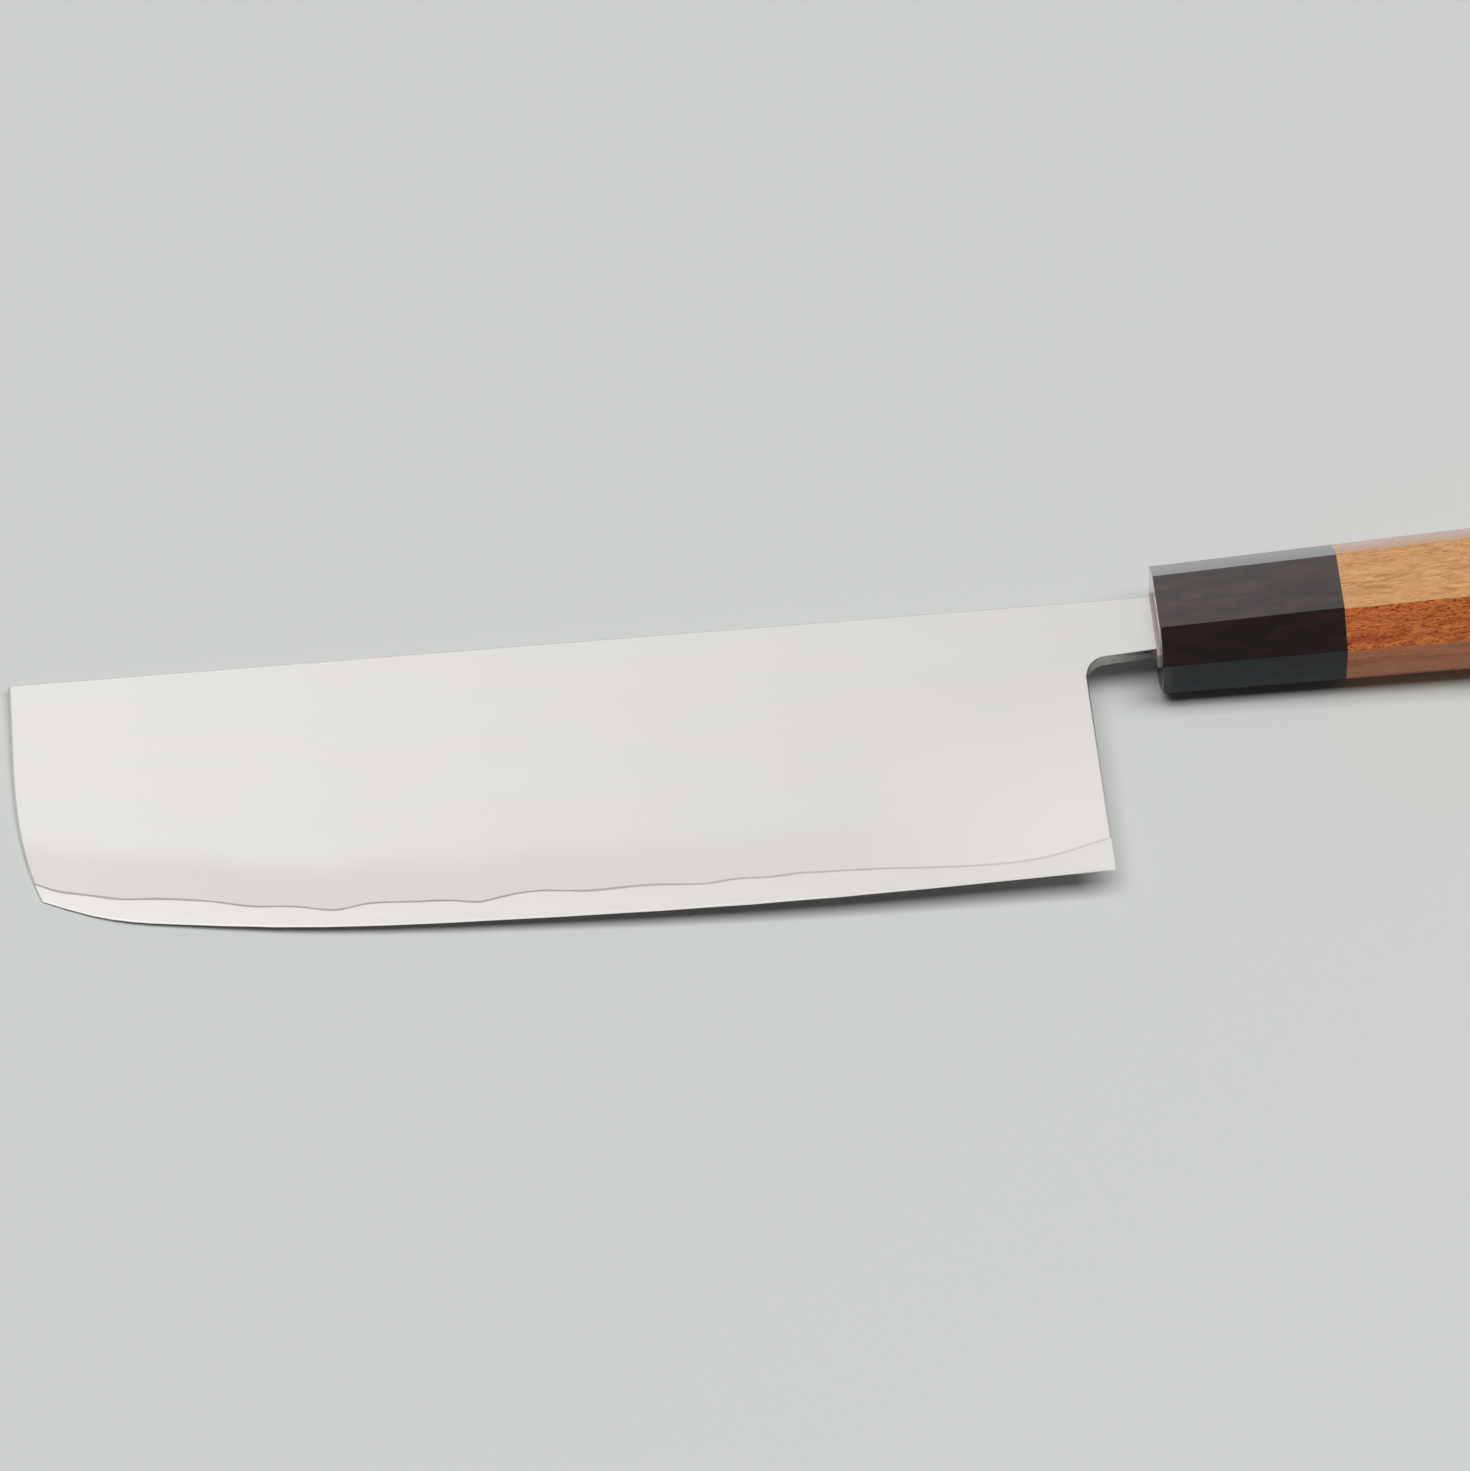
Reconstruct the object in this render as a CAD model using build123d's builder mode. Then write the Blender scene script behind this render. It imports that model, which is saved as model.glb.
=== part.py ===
from build123d import *
import os
from math import hypot

# Nakiri: a straight-backed vegetable knife with a three-layer blade and an octagonal wooden
# handle. A hard steel core is forged between two soft stainless skins, and all three run back
# as a hidden tang. A dark ferrule and a tapered handle are drawn onto one round dowel that is
# slotted for the tang, resin fills the slot, and wax closes it round the neck.
# The knife is modelled with its spine along X, the tip towards -X and the edge towards -Y, and
# is then laid on a table as it comes to rest: on the ferrule and on the front of the blade.

# Blade, seen from the side
blade_length = 166.0
blade_depth = 47.75
heel_depth = 46.6
tip_depth = 38.0
tip_setback = 5.2
heel_lean = 1.5
neck_length = 9.8
neck_depth = 9.4
choil_depth = 10.3
choil_radius = 3.1

# Blade, seen from its end: two flats that thin towards the tip and the edge, a steeper bevel
# along the edge, the fine bevel that is honed last, and a front and spine that are eased
heel_thickness = 2.9
tip_thickness = 2.1
flat_slope = 0.02
bevel_slope = 0.04
bevel_foot = 0.16
honed_height = 0.30
front_crown = 0.4
spine_ease = 0.25

# Layers of the blade: the core's thickness, and how far it is laid bare above the edge
core_thickness = 0.35
seam_height = 4.6

# Tang
tang_length = 92.0
tang_depth = 7.2
tang_end_depth = 4.2
tang_thickness = 2.5
tang_end_thickness = 1.8

# Handle and ferrule
handle_angle = 1.6
axis_depth = 5.3
handle_length = 135.0
front_width = 18.4
front_thickness = 16.7
front_corner = 4.6
butt_width = 22.8
butt_thickness = 21.4
butt_corner = 5.5
ferrule_length = 28.0
ferrule_chamfer = 0.15
butt_chamfer = 1.2
arris_ease = 0.12

# Dowel, slots and fillings
ferrule_web = 6.0
dowel_diameter = 12.0
dowel_tail = 8.0
dowel_chamfer = 0.8
dowel_end_gap = 1.0
glue_line = 0.1
neck_seat = 3.0
neck_clearance = 0.35
tang_clearance = 0.5
slot_end_gap = 2.0
wax_depth = 1.5
wax_proud = 0.4

# Places along the outlines, as shares of the lengths and depths that they follow
edge_shares = ((0.30, 1.0), (0.553, 0.9875), (0.774, 0.9455), (0.845, 0.915), (0.908, 0.877))
past_heel_share = 0.2
front_shares = ((0.434, 0.13), (0.824, 0.54))
seam_shares = (
    (0.00, 1.19), (0.03, 0.96), (0.05, 0.80), (0.08, 0.67), (0.106, 0.66), (0.16, 0.75),
    (0.235, 0.94), (0.27, 0.97), (0.294, 1.0), (0.31, 0.95), (0.355, 0.955), (0.373, 0.88),
    (0.41, 0.93), (0.45, 0.945), (0.49, 0.885), (0.526, 0.985), (0.569, 0.83), (0.588, 0.70),
    (0.61, 0.785), (0.65, 0.82), (0.698, 0.775), (0.72, 0.61), (0.755, 0.735), (0.80, 0.74),
    (0.828, 0.85), (0.87, 0.91), (0.89, 0.89), (0.925, 0.77), (0.951, 0.745), (0.981, 0.60),
    (1.0, 0.54),
)
rest_share = 0.65

# One overrun carries each cut clear of the steel or wood that it passes through
overrun = 12.0

# Side view of the blade: the origin is on the spine above the heel, x runs towards the tip and
# y towards the edge
side_view = Plane(origin=(0, 0, 0), x_dir=(-1, 0, 0), z_dir=(0, 0, 1))

# The handle's axis leaves the ferrule's face square and rises a little towards the butt
handle_axis = Vector(1, 0, 0).rotate(Axis.Z, handle_angle)
ferrule_face = Plane((neck_length, -axis_depth, 0), x_dir=handle_axis.rotate(Axis.Z, 90),
                     z_dir=handle_axis)
along_handle = Axis(ferrule_face.origin, ferrule_face.z_dir)

# Each flat leans in by flat_slope towards the edge, and by thinning towards the tip. Behind the
# choil it leans by tang_thinning towards the tang's end instead, so it is thickest between
thinning = (heel_thickness - tip_thickness) / 2 / blade_length
neck_start = heel_lean + choil_radius
neck_half = heel_thickness / 2 + thinning * neck_start
tang_thinning = (neck_half - tang_end_thickness / 2) / (neck_length + tang_length - neck_start)
left_flat = Plane((0, 0, heel_thickness / 2), z_dir=(-thinning, -flat_slope, 1))
right_flat = Plane((0, 0, -heel_thickness / 2), z_dir=(-thinning, -flat_slope, -1))
left_neck = Plane((neck_start, 0, neck_half), z_dir=(tang_thinning, -flat_slope, 1))
right_neck = Plane((neck_start, 0, -neck_half), z_dir=(tang_thinning, -flat_slope, -1))

# Points of the side view: the edge runs from the heel over the belly to the tip
heel = Vector(0, heel_depth)
tip = Vector(blade_length - tip_setback, tip_depth)
belly = [Vector(blade_length * along, blade_depth * down) for along, down in edge_shares]
past_heel = heel - (belly[0] - heel) * past_heel_share
past_tip = tip + (tip - belly[-1])
neck_end = -neck_length - neck_seat
behind = neck_end - overrun
below = blade_depth + overrun
above = -below


def front_line():
    """The front of the blade, from the spine down to the end of the edge."""
    between = [(blade_length - tip_setback * back, tip_depth * down) for down, back in front_shares]
    return Spline((blade_length, 0), *between, tip)


def run_on(line, share):
    """A straight run past one end of a line, in the line's own direction there."""
    outward = (line % share) * (2 * share - 1)
    return Line(line @ share, line @ share + outward * overrun)


def leaning_body(area, inward, slope):
    """The body over an area whose walls lean inward from it, on both sides of the blade."""
    reach = heel_thickness * hypot(1, slope) / slope
    with BuildPart() as body:
        extrude(area, amount=reach, dir=(*inward, slope))
        extrude(area, amount=reach, dir=(*inward, -slope))
    return body.part


def ground_body(drop, slope):
    """The body left when both sides are ground at one slope, up from the lowered edge line."""
    points = [past_heel, heel, *belly, tip, past_tip]
    with BuildSketch(side_view) as area:
        with BuildLine():
            ground = Spline(*[point + Vector(0, drop) for point in points])
            Polyline(ground @ 1, ((ground @ 1).X, above), (behind, above),
                     (behind, (ground @ 0).Y), ground @ 0)
        make_face()
    return leaning_body(area.sketch, (0, 1), slope)


def crowned_front():
    """The body left when the front is crowned, so that its middle stands proud of its sides."""
    with BuildSketch(side_view) as area:
        with BuildLine():
            crown = front_line()
            past_edge = run_on(crown, 1) @ 1
            past_spine = run_on(crown, 0) @ 1
            Polyline(past_edge, (behind, past_edge.Y), (behind, past_spine.Y), past_spine)
        make_face()
    return leaning_body(area.sketch, (1, 0), tip_thickness / 2 / front_crown)


def tang_section(distance, depth, thickness):
    """A cross-section of the tang, at a distance behind the ferrule's face."""
    with BuildSketch(ferrule_face.offset(distance)) as section:
        Rectangle(depth, thickness)
    return section.sketch


# Forged blade and tang: one shape for all three layers, before they are told apart
heel_slope = heel_lean / (heel_depth - choil_depth)
neck_slope = (choil_depth - neck_depth) / (neck_length + heel_lean)
choil_corner = (heel_lean, choil_depth)
heel_foot = (heel_lean - heel_slope * (below - choil_depth), below)
neck_foot = (neck_end, neck_depth - neck_slope * neck_seat)
bevel_drop = bevel_foot / 2 / bevel_slope
honed_slope = (bevel_foot / 2 + bevel_slope * honed_height) / honed_height

with BuildPart() as forged_blade:
    with BuildSketch(side_view):
        with BuildLine():
            Polyline((blade_length, 0), (blade_length, below), heel_foot, choil_corner,
                     neck_foot, (neck_end, 0), close=True)
        make_face()
        fillet(vertices().sort_by_distance(choil_corner)[0], choil_radius)
    extrude(amount=heel_thickness, both=True)
    for ground in (left_flat, right_flat, left_neck, right_neck):
        split(bisect_by=ground, keep=Keep.BOTTOM)
    add(ground_body(bevel_drop, bevel_slope), mode=Mode.INTERSECT)
    add(ground_body(0, honed_slope), mode=Mode.INTERSECT)
    add(crowned_front(), mode=Mode.INTERSECT)
    spine = edges().group_by(Axis.Y)[-1].filter_by(lambda edge: edge.length > blade_length)
    chamfer(spine, spine_ease)
    loft([tang_section(neck_seat / 2, tang_depth, tang_thickness),
          tang_section(tang_length, tang_end_depth, tang_end_thickness)])

# Core zone: a thin sheet through the middle of the blade, and all that lies below the seam,
# the wandering line where the skins have been ground away to lay the core bare
bare_edge = Spline(heel, *belly, tip)
seam_points = [bare_edge @ along - Vector(0, seam_height * up) for along, up in seam_shares]

with BuildPart() as core_zone:
    with BuildSketch(side_view):
        with BuildLine():
            sheet_end = -neck_length - tang_length - overrun
            Polyline((sheet_end, above), (past_tip.X, above), (past_tip.X, below),
                     (sheet_end, below), close=True)
        make_face()
    extrude(amount=core_thickness / 2, both=True)
    with BuildSketch(side_view):
        with BuildLine():
            seam = Spline(*seam_points)
            heel_run = run_on(seam, 0)
            tip_run = run_on(seam, 1)
            Polyline(tip_run @ 1, ((tip_run @ 1).X, below), ((heel_run @ 1).X, below),
                     heel_run @ 1)
        make_face()
    extrude(amount=heel_thickness, both=True)

# Core steel: the hard layer, bare along the edge
with BuildPart() as core_steel:
    add(forged_blade.part)
    add(core_zone.part, mode=Mode.INTERSECT)

# Cladding: the two soft skins, left and right
with BuildPart() as left_cladding:
    add(forged_blade.part)
    add(core_zone.part, mode=Mode.SUBTRACT)
    split(bisect_by=Plane.XY, keep=Keep.TOP)

with BuildPart() as right_cladding:
    add(forged_blade.part)
    add(core_zone.part, mode=Mode.SUBTRACT)
    split(bisect_by=Plane.XY, keep=Keep.BOTTOM)


def handle_size(distance):
    """Width, thickness and cut corner of the handle at a distance behind the ferrule's face."""
    share = distance / handle_length
    return (front_width + (butt_width - front_width) * share,
            front_thickness + (butt_thickness - front_thickness) * share,
            front_corner + (butt_corner - front_corner) * share)


def octagon_corners(distance):
    """The corners of the handle's octagon, in order round it: it is broad on the flats that
    face up and down, and its corners are cut by four narrower sides."""
    width, thickness, corner = handle_size(distance)
    x = width / 2
    y = thickness / 2
    places = ((x, corner - y), (x, y - corner), (x - corner, y), (corner - x, y),
              (-x, y - corner), (-x, corner - y), (corner - x, -y), (x - corner, -y))
    section = ferrule_face.offset(distance)
    return [section.from_local_coords(Vector(*place, 0)) for place in places]


def planed_blank(start, end):
    """A length of wood whose eight sides are planed flat from the ferrule's face to the butt."""
    front_corners = octagon_corners(0)
    butt_corners = octagon_corners(handle_length)
    with BuildPart() as blank:
        with BuildSketch(ferrule_face.offset(start)):
            Rectangle(2 * butt_width, 2 * butt_thickness)
        extrude(amount=end - start)
        for place, here in enumerate(front_corners):
            side = here - front_corners[place - 1]
            outward = side.cross(butt_corners[place] - here)
            split(bisect_by=Plane(here, x_dir=side, z_dir=outward), keep=Keep.BOTTOM)
    return blank.part


def round_section(distance, diameter):
    """A circle on the handle's axis, at a distance behind the ferrule's face."""
    with BuildSketch(ferrule_face.offset(distance)) as section:
        Circle(diameter / 2)
    return section.sketch


# The dowel's slot takes the tang, and its solid tail runs on behind the slot
neck_slot = (2 * (axis_depth + neck_clearance), heel_thickness + 2 * neck_clearance)
tang_slot = (tang_depth + 2 * tang_clearance, tang_thickness + 2 * tang_clearance)
tang_slot_length = tang_length + slot_end_gap - ferrule_web
dowel_length = tang_slot_length + dowel_tail
bore_diameter = dowel_diameter + 2 * glue_line
bore_end = ferrule_web + dowel_length + dowel_end_gap

# Ferrule: a dark octagon with the neck's slot through its front and the dowel's socket behind
with BuildPart() as ferrule:
    add(planed_blank(0, ferrule_length))
    arrises = edges().filter_by(lambda edge: edge.length >= ferrule_length)
    chamfer(arrises, arris_ease)
    chamfer(faces().sort_by(along_handle)[0].edges(), ferrule_chamfer)
    extrude(round_section(ferrule_web, bore_diameter), amount=ferrule_length,
            mode=Mode.SUBTRACT)
    with BuildSketch(ferrule_face):
        Rectangle(*neck_slot)
    extrude(amount=ferrule_web, mode=Mode.SUBTRACT)

# Handle body: the long tapered octagon behind the ferrule, bored for the dowel
with BuildPart() as handle_body:
    add(planed_blank(ferrule_length, handle_length))
    chamfer(faces().sort_by(along_handle)[-1].edges(), butt_chamfer)
    arrises = edges().filter_by(lambda edge: edge.length > ferrule_length)
    chamfer(arrises, arris_ease)
    extrude(round_section(ferrule_length, bore_diameter), amount=bore_end - ferrule_length,
            mode=Mode.SUBTRACT)

# Dowel: joins the ferrule to the handle and holds the tang in its slot
with BuildPart() as dowel:
    extrude(round_section(ferrule_web, dowel_diameter), amount=dowel_length)
    chamfer(edges().filter_by(GeomType.CIRCLE), dowel_chamfer)
    with BuildSketch(ferrule_face.offset(ferrule_web)):
        Rectangle(*tang_slot)
    extrude(amount=tang_slot_length, mode=Mode.SUBTRACT)

# Tang resin: fills both slots round the tang, behind the wax
with BuildPart() as tang_resin:
    with BuildSketch(ferrule_face.offset(wax_depth)):
        Rectangle(*neck_slot)
    extrude(amount=ferrule_web - wax_depth)
    with BuildSketch(ferrule_face.offset(ferrule_web)):
        Rectangle(*tang_slot)
    extrude(amount=tang_slot_length)
    add(forged_blade.part, mode=Mode.SUBTRACT)

# Neck wax: closes the mouth of the slot round the neck, a little proud of the ferrule's face
with BuildPart() as neck_wax:
    with BuildSketch(ferrule_face.offset(-wax_proud)):
        Rectangle(*neck_slot)
    extrude(amount=wax_proud + wax_depth)
    add(forged_blade.part, mode=Mode.SUBTRACT)

# Table: the plane through the ferrule's lower front corner on the edge side that also lies
# along the front of the blade's right flat
width, thickness, corner = handle_size(ferrule_chamfer)
ferrule_corner = ferrule_face.offset(ferrule_chamfer).from_local_coords(
    Vector(corner + arris_ease - width / 2, -thickness / 2, 0))
blade_front = front_line()
touch = blade_front @ rest_share
along_front = blade_front % rest_share
touch_height = heel_thickness / 2 - thinning * touch.X - flat_slope * touch.Y
rise = thinning * along_front.X + flat_slope * along_front.Y
blade_corner = Vector(-touch.X, -touch.Y, -touch_height)
front_direction = Vector(-along_front.X, -along_front.Y, rise)
upright = (blade_corner - ferrule_corner).cross(front_direction).normalized()
level_axis = handle_axis - upright * handle_axis.dot(upright)
table = Plane(ferrule_corner, x_dir=level_axis, z_dir=upright)

# The knife is laid on the table, with its origin under the middle of its outline
pieces = {
    "core_steel": core_steel,
    "left_cladding": left_cladding,
    "right_cladding": right_cladding,
    "ferrule": ferrule,
    "handle_body": handle_body,
    "dowel": dowel,
    "tang_resin": tang_resin,
    "neck_wax": neck_wax,
}
for piece in pieces.values():
    piece.part.move(table.location.inverse())
outline = pieces["core_steel"].part.bounding_box()
for piece in pieces.values():
    outline = outline.add(piece.part.bounding_box())
middle = Location((-outline.center().X, -outline.center().Y, 0))

os.makedirs("parts", exist_ok=True)
for name, piece in pieces.items():
    piece.part.move(middle)
    piece.part.label = name
    export_step(piece.part, f"parts/{name}.step")
    box = piece.part.bounding_box()
    print(name, len(piece.part.solids()), round(piece.part.volume, 1), box)
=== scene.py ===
import math

import bpy
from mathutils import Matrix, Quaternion, Vector


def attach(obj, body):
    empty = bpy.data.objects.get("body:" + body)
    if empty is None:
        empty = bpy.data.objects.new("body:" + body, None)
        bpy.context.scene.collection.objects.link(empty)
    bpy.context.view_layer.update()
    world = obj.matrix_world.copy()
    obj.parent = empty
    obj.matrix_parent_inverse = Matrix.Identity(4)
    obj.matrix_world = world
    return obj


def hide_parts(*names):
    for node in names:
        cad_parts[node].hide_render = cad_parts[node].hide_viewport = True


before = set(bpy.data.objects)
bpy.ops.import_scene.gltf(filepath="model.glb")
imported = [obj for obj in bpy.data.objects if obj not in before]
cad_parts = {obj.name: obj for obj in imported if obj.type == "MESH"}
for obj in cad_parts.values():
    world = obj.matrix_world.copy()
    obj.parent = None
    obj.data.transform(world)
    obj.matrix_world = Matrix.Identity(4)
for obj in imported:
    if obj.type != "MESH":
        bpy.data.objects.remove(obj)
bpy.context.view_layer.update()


# Core steel
# The hard middle layer of the forged blade, of stainless carbon steel. It is laid bare along the
# edge, ground flat and then drawn along water stones.

def linear(hex_colour):
    """An sRGB hex colour, turned into the linear colour that a shader takes."""
    shares = [int(hex_colour[place:place + 2], 16) / 255 for place in (1, 3, 5)]
    return [c / 12.92 if c <= 0.04045 else ((c + 0.055) / 1.055) ** 2.4 for c in shares] + [1.0]


def add_node(material, kind, feeds=None, **settings):
    """Adds one node. Each feed is a socket's value, or the output that is linked to it."""
    node = material.node_tree.nodes.new(kind)
    for name, value in settings.items():
        setattr(node, name, value)
    for socket, value in (feeds or {}).items():
        if isinstance(value, bpy.types.NodeSocket):
            material.node_tree.links.new(value, node.inputs[socket])
        else:
            node.inputs[socket].default_value = value
    return node


def new_material(name):
    """An empty material, named for the real one and how its surface was made."""
    material = bpy.data.materials.new(name)
    material.use_nodes = True
    material.node_tree.nodes.clear()
    return material


def finish_material(material, shader):
    """Ends a material in its output."""
    add_node(material, "ShaderNodeOutputMaterial", {"Surface": shader.outputs["BSDF"]})


def merged_copy(node, name):
    """A copy of a CAD node as a new piece, its loose triangles merged into flat faces."""
    same_place = 1e-6
    same_plane = math.radians(0.03)
    piece = bpy.data.objects.new(name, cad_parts[node].data.copy())
    bpy.context.scene.collection.objects.link(piece)
    piece.data.materials.clear()
    bpy.ops.object.select_all(action="DESELECT")
    piece.select_set(True)
    bpy.context.view_layer.objects.active = piece
    bpy.ops.mesh.customdata_custom_splitnormals_clear()
    bpy.ops.object.mode_set(mode="EDIT")
    bpy.ops.mesh.select_all(action="SELECT")
    bpy.ops.mesh.remove_doubles(threshold=same_place)
    bpy.ops.mesh.dissolve_limited(angle_limit=same_plane)
    bpy.ops.mesh.select_all(action="DESELECT")
    bpy.ops.object.mode_set(mode="OBJECT")
    bpy.ops.object.shade_flat()
    return piece


def stand_for(piece, node, material):
    """Lets a finished piece take a CAD node's place."""
    piece.data.materials.append(material)
    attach(piece, "root")
    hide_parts(node)


def seen_from_above(place):
    """A corner's X and Y, to the nearest 0.001 mm, so that corners can be compared."""
    return round(place.x, 6), round(place.y, 6)


# A face counts as level where its normal's Z is over this
level_normal = 0.9


def weld_points():
    """The weld line as it shows: where the left cladding's top meets its wall above the core."""
    facing_edge = -0.5
    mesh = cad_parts["left_cladding"].data
    kinds_at = {}
    for face in mesh.polygons:
        top, wall = face.normal.z > level_normal, face.normal.y < facing_edge
        for corner in face.vertices:
            place = mesh.vertices[corner].co
            # The weld runs in the edge's half of the blade, and the neck lies in the other
            if (top or wall) and place.y < 0:
                kinds_at.setdefault(seen_from_above(place), set()).add("top" if top else "wall")
    return sorted(place for place, kinds in kinds_at.items() if len(kinds) == 2)


# Places are in metres: the blade's front is at -0.155 along X, its heel at about 0.010, and the
# edge faces -Y. Heights over the weld and the sizes of patterns are in mm
weld = weld_points()


def above_weld(material, parts):
    """The height above the weld line in mm, less than zero on the bare core."""
    front, heel = weld[0][0], weld[-1][0]
    low, high = min(y for x, y in weld), max(y for x, y in weld)
    along = add_node(material, "ShaderNodeMapRange", {
        "Value": parts.outputs["X"], "From Min": front, "From Max": heel})
    curve = add_node(material, "ShaderNodeFloatCurve", {"Value": along.outputs["Result"]})
    points = curve.mapping.curves[0].points
    shares = [((x - front) / (heel - front), (y - low) / (high - low)) for x, y in weld]
    points[0].location, points[-1].location = shares[0], shares[-1]
    for share in shares[1:-1]:
        points.new(*share)
    for point in points:
        point.handle_type = "VECTOR"
    curve.mapping.update()
    line = add_node(material, "ShaderNodeMapRange", {
        "Value": curve.outputs["Value"], "To Min": low, "To Max": high})
    height = add_node(material, "ShaderNodeMath", {
        0: parts.outputs["Y"], 1: line.outputs["Result"]}, operation="SUBTRACT")
    return add_node(material, "ShaderNodeMath", {0: height.outputs[0], 1: 1000.0},
                    operation="MULTIPLY").outputs[0]


def stone_marks(material, place):
    """Stone marks along the blade, 18 mm long. Real ones are 0.03 mm apart, and these are drawn
    0.2 mm apart so that they show."""
    lines = add_node(material, "ShaderNodeMapping", {
        "Vector": place, "Scale": (1000 / 18, 1000 / 0.2, 1000 / 0.2)})
    return add_node(material, "ShaderNodeTexNoise", {
        "Vector": lines.outputs["Vector"], "Scale": 1.0, "Detail": 3.0, "Roughness": 0.6}
    ).outputs["Fac"]


def blade_surface(material):
    """What a blade steel is drawn from: a place, its X, Y and Z, its height, and the marks."""
    place = add_node(material, "ShaderNodeTexCoord").outputs["Object"]
    parts = add_node(material, "ShaderNodeSeparateXYZ", {"Vector": place})
    return place, parts, above_weld(material, parts), stone_marks(material, place)


def etched_line(material, place, parts, height):
    """How much the line etched along the weld covers. It is 0.2 to 0.34 mm wide on each side,
    swells and thins every 3.85 mm or so, and fades towards the heel."""
    depth = add_node(material, "ShaderNodeMapRange", {
        "Value": parts.outputs["X"], "From Min": -0.09, "From Max": 0.012,
        "To Min": 0.85, "To Max": 0.25})
    distance = add_node(material, "ShaderNodeMath", {0: height}, operation="ABSOLUTE")
    drift = add_node(material, "ShaderNodeTexNoise", {
        "Vector": place, "Scale": 1000 / 3.85, "Detail": 2.0})
    reach = add_node(material, "ShaderNodeMapRange", {
        "Value": drift.outputs["Fac"], "From Min": 0.3, "From Max": 0.7,
        "To Min": 0.20, "To Max": 0.34})
    return add_node(material, "ShaderNodeMapRange", {
        "Value": distance.outputs[0], "From Min": 0.04, "From Max": reach.outputs["Result"],
        "To Min": depth.outputs["Result"], "To Max": 0.0}, interpolation_type="SMOOTHSTEP"
    ).outputs["Result"]


def looking(material):
    """Which way each face looks, as its normal's X, Y and Z."""
    return add_node(material, "ShaderNodeSeparateXYZ", {
        "Vector": add_node(material, "ShaderNodeNewGeometry").outputs["Normal"]}).outputs


def upright_share(material):
    """How much a face is one of the blade's upright sides: 0 on the flats, 1 on the sides."""
    level = add_node(material, "ShaderNodeMath", {0: looking(material)["Z"]},
                     operation="ABSOLUTE")
    return add_node(material, "ShaderNodeMapRange", {
        "Value": level.outputs[0], "From Min": 0.25, "From Max": 0.1}).outputs["Result"]


def filed_grey_and_painted_shade(material, place):
    """The streaky grey of the neck's, the heel's and the spine's sides, which are only filed.
    They are
    painted darker as well: a painted reflection of the dark ferrule and of the shadow on the
    table.
    Its streaks are 6 mm tall and 0.7 mm wide."""
    upright = add_node(material, "ShaderNodeMapping", {
        "Vector": place, "Scale": (1000 / 0.7, 1000 / 0.7, 1000 / 6)})
    patches = add_node(material, "ShaderNodeTexNoise", {
        "Vector": upright.outputs["Vector"], "Scale": 1.0, "Detail": 2.0})
    return add_node(material, "ShaderNodeMix", {
        "Factor": patches.outputs["Fac"], "A": linear("#7E7A77"), "B": linear("#BAB6B3")},
        data_type="RGBA").outputs[2]


def finish_steel(material, surface, steel, roughness, relief):
    """Ends a blade steel with its etched line, its filed sides with their painted shade and the
    depth of its marks.
    """
    place, parts, height, marks = surface
    for share, over in (
            (etched_line(material, place, parts, height), linear("#949092")),
            (upright_share(material), filed_grey_and_painted_shade(material, place))):
        steel = add_node(material, "ShaderNodeMix", {"Factor": share, "A": steel, "B": over},
                         data_type="RGBA").outputs[2]
    bump = add_node(material, "ShaderNodeBump", {
        "Height": marks, "Strength": relief, "Distance": 0.0001})
    finish_material(material, add_node(material, "ShaderNodeBsdfPrincipled", {
        "Base Color": steel, "Metallic": 1.0, "Roughness": roughness,
        "Normal": bump.outputs["Normal"]}))


# Stone-polished steel gives a bright, fine satin: a soft, even sheen with faint streaks along
# the blade, paler than the cladding beside it
core_satin = new_material("stainless_carbon_steel_stone_polished")
core_surface = blade_surface(core_satin)
_, core_parts, core_height, core_marks = core_surface
streaky = add_node(core_satin, "ShaderNodeMix", {
    "Factor": core_marks, "A": linear("#DCD9D7"), "B": linear("#E6E4E2")}, data_type="RGBA")
# A painted highlight: the core is painted a little brighter towards the heel
near_heel = add_node(core_satin, "ShaderNodeMapRange", {
    "Value": core_parts.outputs["X"], "From Min": -0.02, "From Max": 0.008})
heel_painted_highlight = add_node(core_satin, "ShaderNodeMix", {
    "Factor": near_heel.outputs["Result"], "A": streaky.outputs[2], "B": linear("#E8E6E2")},
    data_type="RGBA")
# The honed edge is steeper and comes off the finest stone. It is painted near white, a painted
# highlight that shows as a bright thin line
honed = add_node(core_satin, "ShaderNodeMapRange", {
    "Value": looking(core_satin)["Y"], "From Min": -0.16, "From Max": -0.22})
honed_painted_highlight = add_node(core_satin, "ShaderNodeMix", {
    "Factor": honed.outputs["Result"], "A": heel_painted_highlight.outputs[2], "B": linear("#FAF8F6")},
    data_type="RGBA")
# The core is polished finer towards the edge, where the stones bite last
core_polish = add_node(core_satin, "ShaderNodeMapRange", {
    "Value": core_height, "From Min": -4.5, "From Max": 0.0, "To Min": 0.18, "To Max": 0.24})
edge_polish = add_node(core_satin, "ShaderNodeMapRange", {
    "Value": honed.outputs["Result"], "To Min": core_polish.outputs["Result"], "To Max": 0.14})
finish_steel(core_satin, core_surface, steel=honed_painted_highlight.outputs[2],
             roughness=edge_polish.outputs["Result"], relief=0.05)

core_steel = merged_copy("core_steel", "blade_core")
stand_for(core_steel, "core_steel", core_satin)


# Cladding
# Two skins of soft stainless steel, forged onto the core and ground away near the edge, where
# the weld shows as a wandering line.

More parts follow.
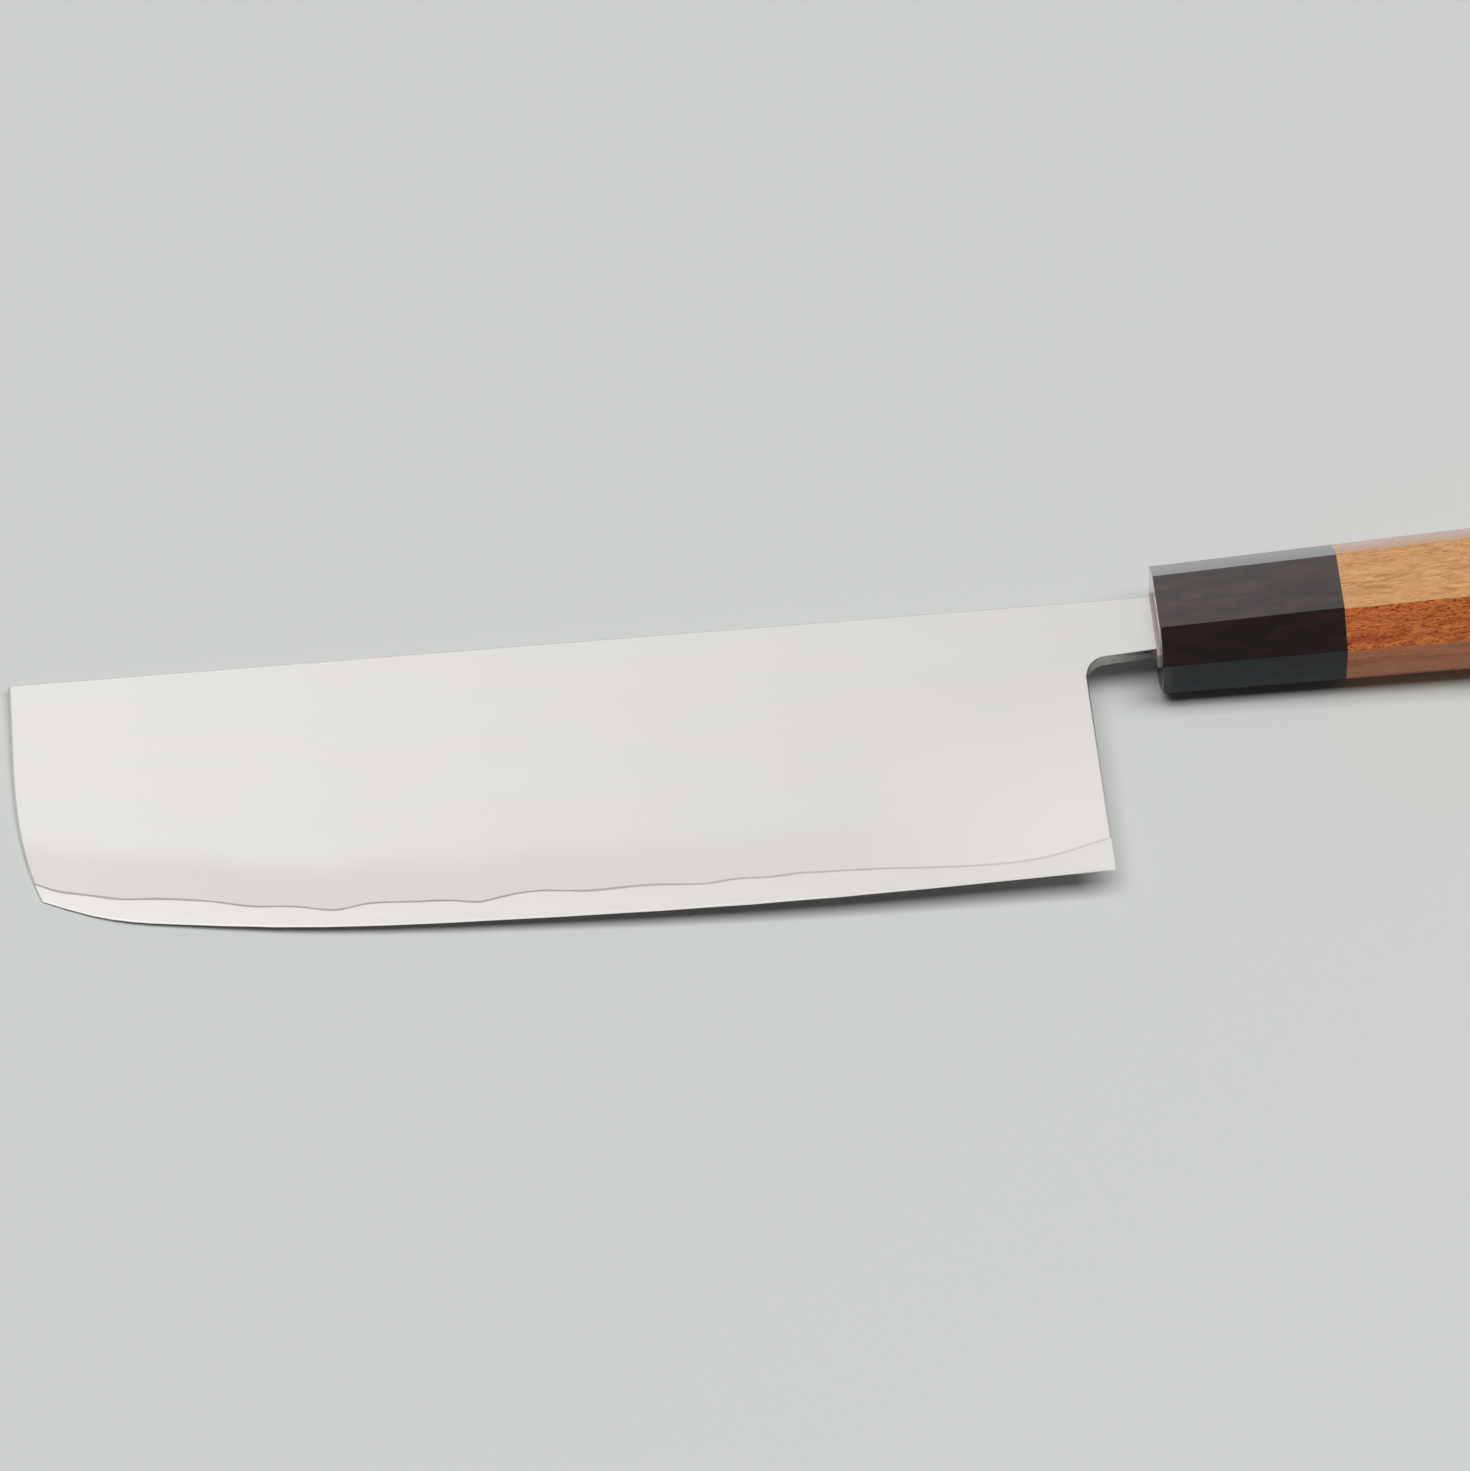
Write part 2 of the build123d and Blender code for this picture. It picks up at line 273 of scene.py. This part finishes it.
def ease_outline(piece, width):
    """Rounds a blade piece's upper outline, but not along the weld, and the neck's less."""
    heel_end = 0.0085
    neck_underside = 0.0078
    ferrule_face = 0.021
    neck_share = 0.35
    upright_normal = 0.5
    rounded_normal = 0.1
    mesh = piece.data
    weld_places = set(weld)
    sides = {}
    for face in mesh.polygons:
        for pair in face.edge_keys:
            sides.setdefault(pair, []).append(face.normal.z)
    weights = mesh.attributes.new("bevel_weight_edge", "FLOAT", "EDGE")
    for edge in mesh.edges:
        ends = [mesh.vertices[corner].co for corner in edge.vertices]
        middle = (ends[0] + ends[1]) / 2
        on_weld = all(seen_from_above(end) in weld_places for end in ends)
        on_outline = (max(sides[edge.key]) > level_normal
                      and abs(min(sides[edge.key])) < upright_normal)
        if on_outline and not on_weld and middle.x <= ferrule_face:
            on_neck = middle.x > heel_end and middle.y > neck_underside
            weights.data[edge.index].value = neck_share if on_neck else 1.0
    bevel = piece.modifiers.new("eased outline", "BEVEL")
    bevel.width = width
    bevel.segments = 4
    bevel.limit_method = "WEIGHT"
    bevel.use_clamp_overlap = False
    bpy.context.view_layer.objects.active = piece
    bpy.ops.object.modifier_apply(modifier=bevel.name)
    for face in mesh.polygons:
        face.use_smooth = abs(face.normal.z) < rounded_normal


# Ground soft steel gives a duller, warmer satin than the core's, with slow clouds 30 mm long and
# 8 mm wide, so that the weld also reads as a change of tone
cladding_satin = new_material("soft_stainless_steel_satin_ground")
cladding_surface = blade_surface(cladding_satin)
skin_place, skin_parts, skin_height, _ = cladding_surface
cloud_size = add_node(cladding_satin, "ShaderNodeMapping", {
    "Vector": skin_place, "Scale": (1000 / 30, 1000 / 8, 1000 / 8)})
clouds = add_node(cladding_satin, "ShaderNodeTexNoise", {
    "Vector": cloud_size.outputs["Vector"], "Scale": 1.0, "Detail": 2.0})
cloudy = add_node(cladding_satin, "ShaderNodeMix", {
    "Factor": clouds.outputs["Fac"], "A": linear("#E1DCD9"), "B": linear("#DEE0DD")},
    data_type="RGBA")
# A painted shade: the steel is painted a soft darker band above the weld, strongest at the front
# of the blade, where the curved grind mirrors less light
near_weld = add_node(cladding_satin, "ShaderNodeMapRange", {
    "Value": skin_height, "From Min": 4.0, "From Max": 10.0, "To Min": 1.0, "To Max": 0.0},
    interpolation_type="SMOOTHSTEP")
near_front = add_node(cladding_satin, "ShaderNodeMapRange", {
    "Value": skin_parts.outputs["X"], "From Min": -0.12, "From Max": 0.0,
    "To Min": 1.0, "To Max": 0.0})
painted_band_shade = add_node(cladding_satin, "ShaderNodeMath", {
    0: near_weld.outputs["Result"], 1: near_front.outputs["Result"]}, operation="MULTIPLY")
band_shaded = add_node(cladding_satin, "ShaderNodeMix", {
    "Factor": painted_band_shade.outputs[0], "A": cloudy.outputs[2], "B": linear("#D7D2D0")},
    data_type="RGBA")
# A painted highlight: the steel is painted brighter low down at the heel
low_down = add_node(cladding_satin, "ShaderNodeMapRange", {
    "Value": skin_height, "From Min": 2.0, "From Max": 34.0, "To Min": 1.0, "To Max": 0.0},
    interpolation_type="SMOOTHSTEP")
at_heel = add_node(cladding_satin, "ShaderNodeMapRange", {
    "Value": skin_parts.outputs["X"], "From Min": -0.03, "From Max": 0.002})
painted_heel_highlight = add_node(cladding_satin, "ShaderNodeMath", {
    0: low_down.outputs["Result"], 1: at_heel.outputs["Result"]}, operation="MULTIPLY")
skin_tone = add_node(cladding_satin, "ShaderNodeMix", {
    "Factor": painted_heel_highlight.outputs[0], "A": band_shaded.outputs[2], "B": linear("#EDE8E6")},
    data_type="RGBA")
finish_steel(cladding_satin, cladding_surface, steel=skin_tone.outputs[2], roughness=0.26,
             relief=0.04)

left_cladding = merged_copy("left_cladding", "blade_left_cladding")
ease_outline(left_cladding, width=0.00024)
stand_for(left_cladding, "left_cladding", cladding_satin)

right_cladding = merged_copy("right_cladding", "blade_right_cladding")
stand_for(right_cladding, "right_cladding", cladding_satin)


# Dowel
# A round peg of pale hardwood inside the ferrule and the handle, slotted for the tang. It is
# turned and glued in, and none of it shows on a whole knife.

# How much the handle's axis rises towards the butt, as the knife rests
axis_rise, axis_run = 0.0430639, 0.9990723
axis_pitch = math.atan2(axis_rise, axis_run)


def streaks(material, length, width, detail=3.0, distortion=0.0, start=0.0, full=1.0, most=1.0):
    """Streaks along the handle's axis, with a length and a width in mm: how much each place is
    covered, from none where their noise is at start up to the most where it is at full."""
    turned = add_node(material, "ShaderNodeMapping", {
        "Vector": add_node(material, "ShaderNodeTexCoord").outputs["Object"],
        "Rotation": (0.0, axis_pitch, 0.0)})
    sized = add_node(material, "ShaderNodeMapping", {
        "Vector": turned.outputs["Vector"],
        "Scale": (1000 / length, 1000 / width, 1000 / width)})
    noise = add_node(material, "ShaderNodeTexNoise", {
        "Vector": sized.outputs["Vector"], "Scale": 1.0, "Detail": detail,
        "Distortion": distortion})
    return add_node(material, "ShaderNodeMapRange", {
        "Value": noise.outputs["Fac"], "From Min": start, "From Max": full, "To Max": most}
    ).outputs["Result"]


# Bare turned beech gives a pale, matt, finely streaked surface
beech = new_material("beech_turned_bare")
beech_streaky = add_node(beech, "ShaderNodeMix", {
    "Factor": streaks(beech, length=12.0, width=0.5),
    "A": linear("#C9A777"), "B": linear("#DFC398")}, data_type="RGBA")
finish_material(beech, add_node(beech, "ShaderNodeBsdfPrincipled", {
    "Base Color": beech_streaky.outputs[2], "Roughness": 0.6}))
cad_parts["dowel"].data.materials[0] = beech


# Tang resin
# Amber casting resin that was poured round the tang and set hard. It fills the slots in the
# dowel and the ferrule, behind the wax.

# Cast epoxy gives a smooth amber gloss with swirls about 3.3 mm wide
resin = new_material("epoxy_resin_cast_amber")
swirls = add_node(resin, "ShaderNodeTexNoise", {
    "Vector": add_node(resin, "ShaderNodeTexCoord").outputs["Object"], "Scale": 1000 / 3.33,
    "Detail": 2.0})
amber = add_node(resin, "ShaderNodeMix", {
    "Factor": swirls.outputs["Fac"], "A": linear("#8A6238"), "B": linear("#A9824F")},
    data_type="RGBA")
finish_material(resin, add_node(resin, "ShaderNodeBsdfPrincipled", {
    "Base Color": amber.outputs[2], "Roughness": 0.12}))
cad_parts["tang_resin"].data.materials[0] = resin


# Ferrule
# The octagon in front of the handle, of ebony, planed, slotted for the neck, glued to the dowel
# and lacquered.

arris_round = 0.00005
sharp_angle = math.radians(18)


def ease_arrises(piece):
    """Closes the CAD's narrow arrises and rounds the sharp edges less with an applied bevel."""
    cad_arris = 0.00026
    soft_angle = math.radians(12)
    bpy.ops.object.select_all(action="DESELECT")
    piece.select_set(True)
    bpy.context.view_layer.objects.active = piece
    bpy.ops.object.mode_set(mode="EDIT")
    bpy.ops.mesh.select_all(action="SELECT")
    bpy.ops.mesh.remove_doubles(threshold=cad_arris)
    bpy.ops.object.mode_set(mode="OBJECT")
    bevel = piece.modifiers.new("eased arrises", "BEVEL")
    bevel.width = arris_round
    bevel.segments = 3
    bevel.limit_method = "ANGLE"
    bevel.angle_limit = sharp_angle
    bpy.ops.object.modifier_apply(modifier=bevel.name)
    bpy.ops.object.shade_smooth_by_angle(angle=soft_angle)


# Planed ebony is near black with red-brown streaks, clearest on the sides that lie level. The
# lacquer mirrors the room, so that each side shows its own grey
ebony = new_material("ebony_planed_lacquered")
ebony_level = add_node(ebony, "ShaderNodeMath", {0: looking(ebony)["Z"]},
                       operation="ABSOLUTE")
reddest = add_node(ebony, "ShaderNodeMapRange", {
    "Value": ebony_level.outputs[0], "From Min": 0.75, "From Max": 0.95, "To Min": 0.4})
near_black = add_node(ebony, "ShaderNodeMix", {
    "Factor": streaks(ebony, length=7.0, width=1.8, detail=2.0, distortion=0.8,
                      start=0.40, full=0.74, most=reddest.outputs["Result"]),
    "A": linear("#1E1514"), "B": linear("#3D2A27")}, data_type="RGBA")
finish_material(ebony, add_node(ebony, "ShaderNodeBsdfPrincipled", {
    "Base Color": near_black.outputs[2], "Roughness": 0.35, "Specular IOR Level": 0.35,
    "Coat Weight": 1.0, "Coat Roughness": 0.1}))

ferrule = merged_copy("ferrule", "ferrule_octagon")
ease_arrises(ferrule)
stand_for(ferrule, "ferrule", ebony)


# Handle
# The long octagon that widens towards the butt, planed from red rosewood, bored and glued to the
# dowel, and lacquered.

# Planed rosewood looks different on each side. The broad sides are cut flat to the growth rings
# and are golden with fine ripples, the slanted ones are red with dark pores, the narrow ones
# pink, and the butt shows end grain. The gold and the pink are partly painted light: a painted
# sheen on the sides that face the rings, and a painted reflection on the narrow sides. The
# lacquer adds the room's mirror image
rosewood = new_material("red_rosewood_planed_lacquered")
ring_tilt = math.radians(10)
towards_rings = add_node(rosewood, "ShaderNodeVectorMath", {
    0: add_node(rosewood, "ShaderNodeNewGeometry").outputs["Normal"],
    1: (0.0, math.sin(ring_tilt), math.cos(ring_tilt))}, operation="DOT_PRODUCT")
ring_level = add_node(rosewood, "ShaderNodeMath", {0: towards_rings.outputs["Value"]},
                      operation="ABSOLUTE")
flat_cut_and_sheen = add_node(rosewood, "ShaderNodeMapRange", {
    "Value": ring_level.outputs[0], "From Min": 0.65, "From Max": 0.92}).outputs["Result"]
pinkest = 0.6
quarter_cut_and_reflection = add_node(rosewood, "ShaderNodeMapRange", {
    "Value": ring_level.outputs[0], "From Min": 0.45, "From Max": 0.25, "To Max": pinkest}
).outputs["Result"]
end_cut = add_node(rosewood, "ShaderNodeMapRange", {
    "Value": looking(rosewood)["X"], "From Min": 0.5, "From Max": 0.9}).outputs["Result"]

red = add_node(rosewood, "ShaderNodeMix", {
    "Factor": streaks(rosewood, length=3.0, width=0.6, distortion=2.2, start=0.38, full=0.66),
    "A": linear("#D47A40"), "B": linear("#A34B22")}, data_type="RGBA").outputs[2]

gold = linear("#D7A165")
ripples = streaks(rosewood, length=5.0, width=0.9, distortion=2.4, start=0.36, full=0.66)
pale_patches = streaks(rosewood, length=9.0, width=3.5, detail=2.0, distortion=1.0,
                       start=0.35, full=0.65, most=0.6)
dashes = streaks(rosewood, length=3.6, width=0.6, detail=1.0, distortion=3.4,
                 start=0.62, full=0.72, most=0.75)
for share, over in ((ripples, "#A87038"), (pale_patches, "#CF9A66"), (dashes, "#85572B")):
    gold = add_node(rosewood, "ShaderNodeMix", {
        "Factor": share, "A": gold, "B": linear(over)}, data_type="RGBA").outputs[2]

# Pores are cut open along their length, most of all on the slanted sides
pores = streaks(rosewood, length=1.4, width=0.4, detail=2.0, distortion=2.2,
                start=0.53, full=0.66)
off_flat = add_node(rosewood, "ShaderNodeMapRange", {
    "Value": flat_cut_and_sheen, "To Min": 1.0, "To Max": 0.1})
off_quarter = add_node(rosewood, "ShaderNodeMapRange", {
    "Value": quarter_cut_and_reflection, "From Max": pinkest, "To Min": 1.0, "To Max": 0.35})
pores_shown = pores
for share in (off_flat.outputs["Result"], off_quarter.outputs["Result"]):
    pores_shown = add_node(rosewood, "ShaderNodeMath", {0: pores_shown, 1: share},
                           operation="MULTIPLY").outputs[0]

# Darker growth bands run along the slanted and the narrow sides, and hardly show on the butt
off_broad = add_node(rosewood, "ShaderNodeMath", {0: 1.0, 1: flat_cut_and_sheen}, operation="SUBTRACT")
off_end = add_node(rosewood, "ShaderNodeMapRange", {
    "Value": end_cut, "To Min": 1.0, "To Max": 0.2})
bands_shown = streaks(rosewood, length=45.0, width=1.6, detail=2.0, distortion=0.3,
                      start=0.50, full=0.66, most=0.75)
for share in (off_broad.outputs[0], off_end.outputs["Result"]):
    bands_shown = add_node(rosewood, "ShaderNodeMath", {0: bands_shown, 1: share},
                           operation="MULTIPLY").outputs[0]

# On the butt the rings are lines 0.9 mm apart, and each runs on for about 12 mm
rings = add_node(rosewood, "ShaderNodeMapping", {
    "Vector": add_node(rosewood, "ShaderNodeTexCoord").outputs["Object"],
    "Rotation": (ring_tilt, axis_pitch, 0.0)})
ring_size = add_node(rosewood, "ShaderNodeMapping", {
    "Vector": rings.outputs["Vector"], "Scale": (1000 / 50, 1000 / 12, 1000 / 0.9)})
ring_noise = add_node(rosewood, "ShaderNodeTexNoise", {
    "Vector": ring_size.outputs["Vector"], "Scale": 1.0, "Detail": 2.0, "Distortion": 0.3})
ring_lines = add_node(rosewood, "ShaderNodeMapRange", {
    "Value": ring_noise.outputs["Fac"], "From Min": 0.4, "From Max": 0.62})
end_grain = linear("#AC5A34")
for share, over in ((ring_lines.outputs["Result"], "#7C3A22"), (pores, "#5A2416")):
    end_grain = add_node(rosewood, "ShaderNodeMix", {
        "Factor": share, "A": end_grain, "B": linear(over)}, data_type="RGBA").outputs[2]
end_share = add_node(rosewood, "ShaderNodeMapRange", {"Value": end_cut, "To Max": 0.8})

wood = red
for share, over in ((flat_cut_and_sheen, gold), (quarter_cut_and_reflection, linear("#DC8A5A")),
                    (pores_shown, linear("#6E2716")), (bands_shown, linear("#9C4422")),
                    (end_share.outputs["Result"], end_grain)):
    wood = add_node(rosewood, "ShaderNodeMix", {"Factor": share, "A": wood, "B": over},
                    data_type="RGBA").outputs[2]
finish_material(rosewood, add_node(rosewood, "ShaderNodeBsdfPrincipled", {
    "Base Color": wood, "Roughness": 0.4, "Coat Weight": 1.0, "Coat Roughness": 0.1}))

handle = merged_copy("handle_body", "handle_octagon")
ease_arrises(handle)
stand_for(handle, "handle_body", rosewood)


# Neck wax
# Soft pink-brown wax, pressed into the mouth of the slot round the neck to keep water out. It
# stands a little proud of the ferrule's face.

# Pressed wax gives a pale pink surface with a soft shine, mottled every 1.1 mm or so. Its
# paleness is partly a painted highlight along the ferrule's face
wax = new_material("sealing_wax_pressed")
mottle = add_node(wax, "ShaderNodeTexNoise", {
    "Vector": add_node(wax, "ShaderNodeTexCoord").outputs["Object"], "Scale": 1000 / 1.11,
    "Detail": 3.0})
pink = add_node(wax, "ShaderNodeMix", {
    "Factor": mottle.outputs["Fac"], "A": linear("#C9B2AB"), "B": linear("#EBDCD8")},
    data_type="RGBA")
finish_material(wax, add_node(wax, "ShaderNodeBsdfPrincipled", {
    "Base Color": pink.outputs[2], "Roughness": 0.3}))
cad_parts["neck_wax"].data.materials[0] = wax


# Table
# The wide, flat board that the knife lies on. It is painted a plain pale grey, and it reaches far
# past the picture on every side.

bpy.ops.mesh.primitive_plane_add(size=8.0)
table = bpy.context.object
table.name = "table"

# Matt paint gives an even, pale grey with no gleam
paint = new_material("matt_paint_pale_grey")
# The lacquered handle mirrors surroundings that the picture doesn't show. Near the handle,
# mirror rays see a second colour there: a painted shadow, darker in front of the handle, and a
# painted paler reflection behind it. They stand here as a second colour that only mirror rays
# see: darker in front of the handle and paler behind it
spot = add_node(paint, "ShaderNodeSeparateXYZ", {
    "Vector": add_node(paint, "ShaderNodeTexCoord").outputs["Object"]})
behind = add_node(paint, "ShaderNodeMapRange", {
    "Value": spot.outputs["Y"], "From Min": 0.010, "From Max": 0.035},
    interpolation_type="SMOOTHSTEP")
painted_mirror_tone = add_node(paint, "ShaderNodeMix", {
    "Factor": behind.outputs["Result"], "A": linear("#666F73"), "B": linear("#DFE0E2")},
    data_type="RGBA")
beside_handle = add_node(paint, "ShaderNodeMapRange", {
    "Value": spot.outputs["X"], "From Min": 0.014, "From Max": 0.022})
mirrored = add_node(paint, "ShaderNodeMath", {
    0: beside_handle.outputs["Result"],
    1: add_node(paint, "ShaderNodeLightPath").outputs["Is Glossy Ray"]}, operation="MULTIPLY")
pale_grey = add_node(paint, "ShaderNodeMix", {
    "Factor": mirrored.outputs[0], "A": linear("#CFD2CF"), "B": painted_mirror_tone.outputs[2]},
    data_type="RGBA")
finish_material(paint, add_node(paint, "ShaderNodeBsdfPrincipled", {
    "Base Color": pale_grey.outputs[2], "Roughness": 0.55}))
table.data.materials.append(paint)


# Light
# One softbox hangs over the knife, a little in front of it, and gives nearly all the light. The
# room is dim, but its pale back wall shows in the steel and in the lacquer.

softbox_data = bpy.data.lights.new("softbox", "AREA")
softbox_data.shape = "RECTANGLE"
softbox_data.size = 4.2
softbox_data.size_y = 1.56
softbox_data.energy = 127.0
softbox = bpy.data.objects.new("softbox", softbox_data)
bpy.context.scene.collection.objects.link(softbox)
softbox.location = (0.5, -0.4, 3.2)
# The steel and the lacquer mirror the room instead, or the blade would burn out from above
softbox.visible_glossy = False

room = bpy.data.worlds.new("dim_room")
room.use_nodes = True
room.node_tree.nodes.clear()
towards = add_node(room, "ShaderNodeSeparateXYZ", {
    "Vector": add_node(room, "ShaderNodeTexCoord").outputs["Generated"]})
to_left = add_node(room, "ShaderNodeMapRange", {
    "Value": towards.outputs["X"], "From Min": -0.2, "From Max": 0.3,
    "To Min": 1.24, "To Max": 0.62})
# The wall dims again far to the left, where low views from the butt end mirror it
far_left = add_node(room, "ShaderNodeMapRange", {
    "Value": towards.outputs["X"], "From Min": -0.9, "From Max": -0.3,
    "To Min": 0.66, "To Max": 1.0})
# The wall in front of the knife is nearly dark
to_back = add_node(room, "ShaderNodeMapRange", {
    "Value": towards.outputs["Y"], "From Min": -0.55, "From Max": 0.1,
    "To Min": 0.09, "To Max": 1.0}, interpolation_type="SMOOTHSTEP")
wall_light = to_left.outputs["Result"]
for share in (far_left.outputs["Result"], to_back.outputs["Result"]):
    wall_light = add_node(room, "ShaderNodeMath", {0: wall_light, 1: share},
                          operation="MULTIPLY").outputs[0]
wall = add_node(room, "ShaderNodeBackground", {
    "Color": linear("#FBFAFA"), "Strength": wall_light})
dim = add_node(room, "ShaderNodeBackground", {"Color": linear("#F4F8FB"), "Strength": 0.06})
# The wall is seen and mirrored, and only the dim light falls on things
ray = add_node(room, "ShaderNodeLightPath")
wall_shows = ray.outputs["Is Camera Ray"]
for kind in ("Is Glossy Ray", "Is Transmission Ray"):
    wall_shows = add_node(room, "ShaderNodeMath", {0: wall_shows, 1: ray.outputs[kind]},
                          operation="MAXIMUM").outputs[0]
light = add_node(room, "ShaderNodeMixShader", {
    0: wall_shows, 1: dim.outputs[0], 2: wall.outputs[0]})
add_node(room, "ShaderNodeOutputWorld", {"Surface": light.outputs[0]})
bpy.context.scene.world = room


# Camera
# It looks down at 57.6 degrees from in front of the edge, through a long lens, so the knife shows
# with little perspective. The butt lies outside the picture.

elevation = math.radians(57.605)
azimuth = math.radians(-4.052)
roll = math.radians(-1.027)
distance = 0.99172
aim = Vector((-0.04509, 0.00703, 0.0))
focal_share = 6500 / 1470  # the focal length over the picture's width, both in its pixels
back = Vector((math.sin(azimuth) * math.cos(elevation),
               -math.cos(azimuth) * math.cos(elevation), math.sin(elevation)))
lens = bpy.data.cameras.new("camera")
lens.sensor_fit = "HORIZONTAL"
lens.sensor_width = 36.0
lens.lens = lens.sensor_width * focal_share
camera = bpy.data.objects.new("camera", lens)
bpy.context.scene.collection.objects.link(camera)
camera.location = aim + back * distance
camera.rotation_mode = "QUATERNION"
camera.rotation_quaternion = back.to_track_quat("Z", "Y") @ Quaternion((0, 0, 1), roll)
bpy.context.scene.camera = camera

bpy.context.scene.view_settings.view_transform = "Standard"
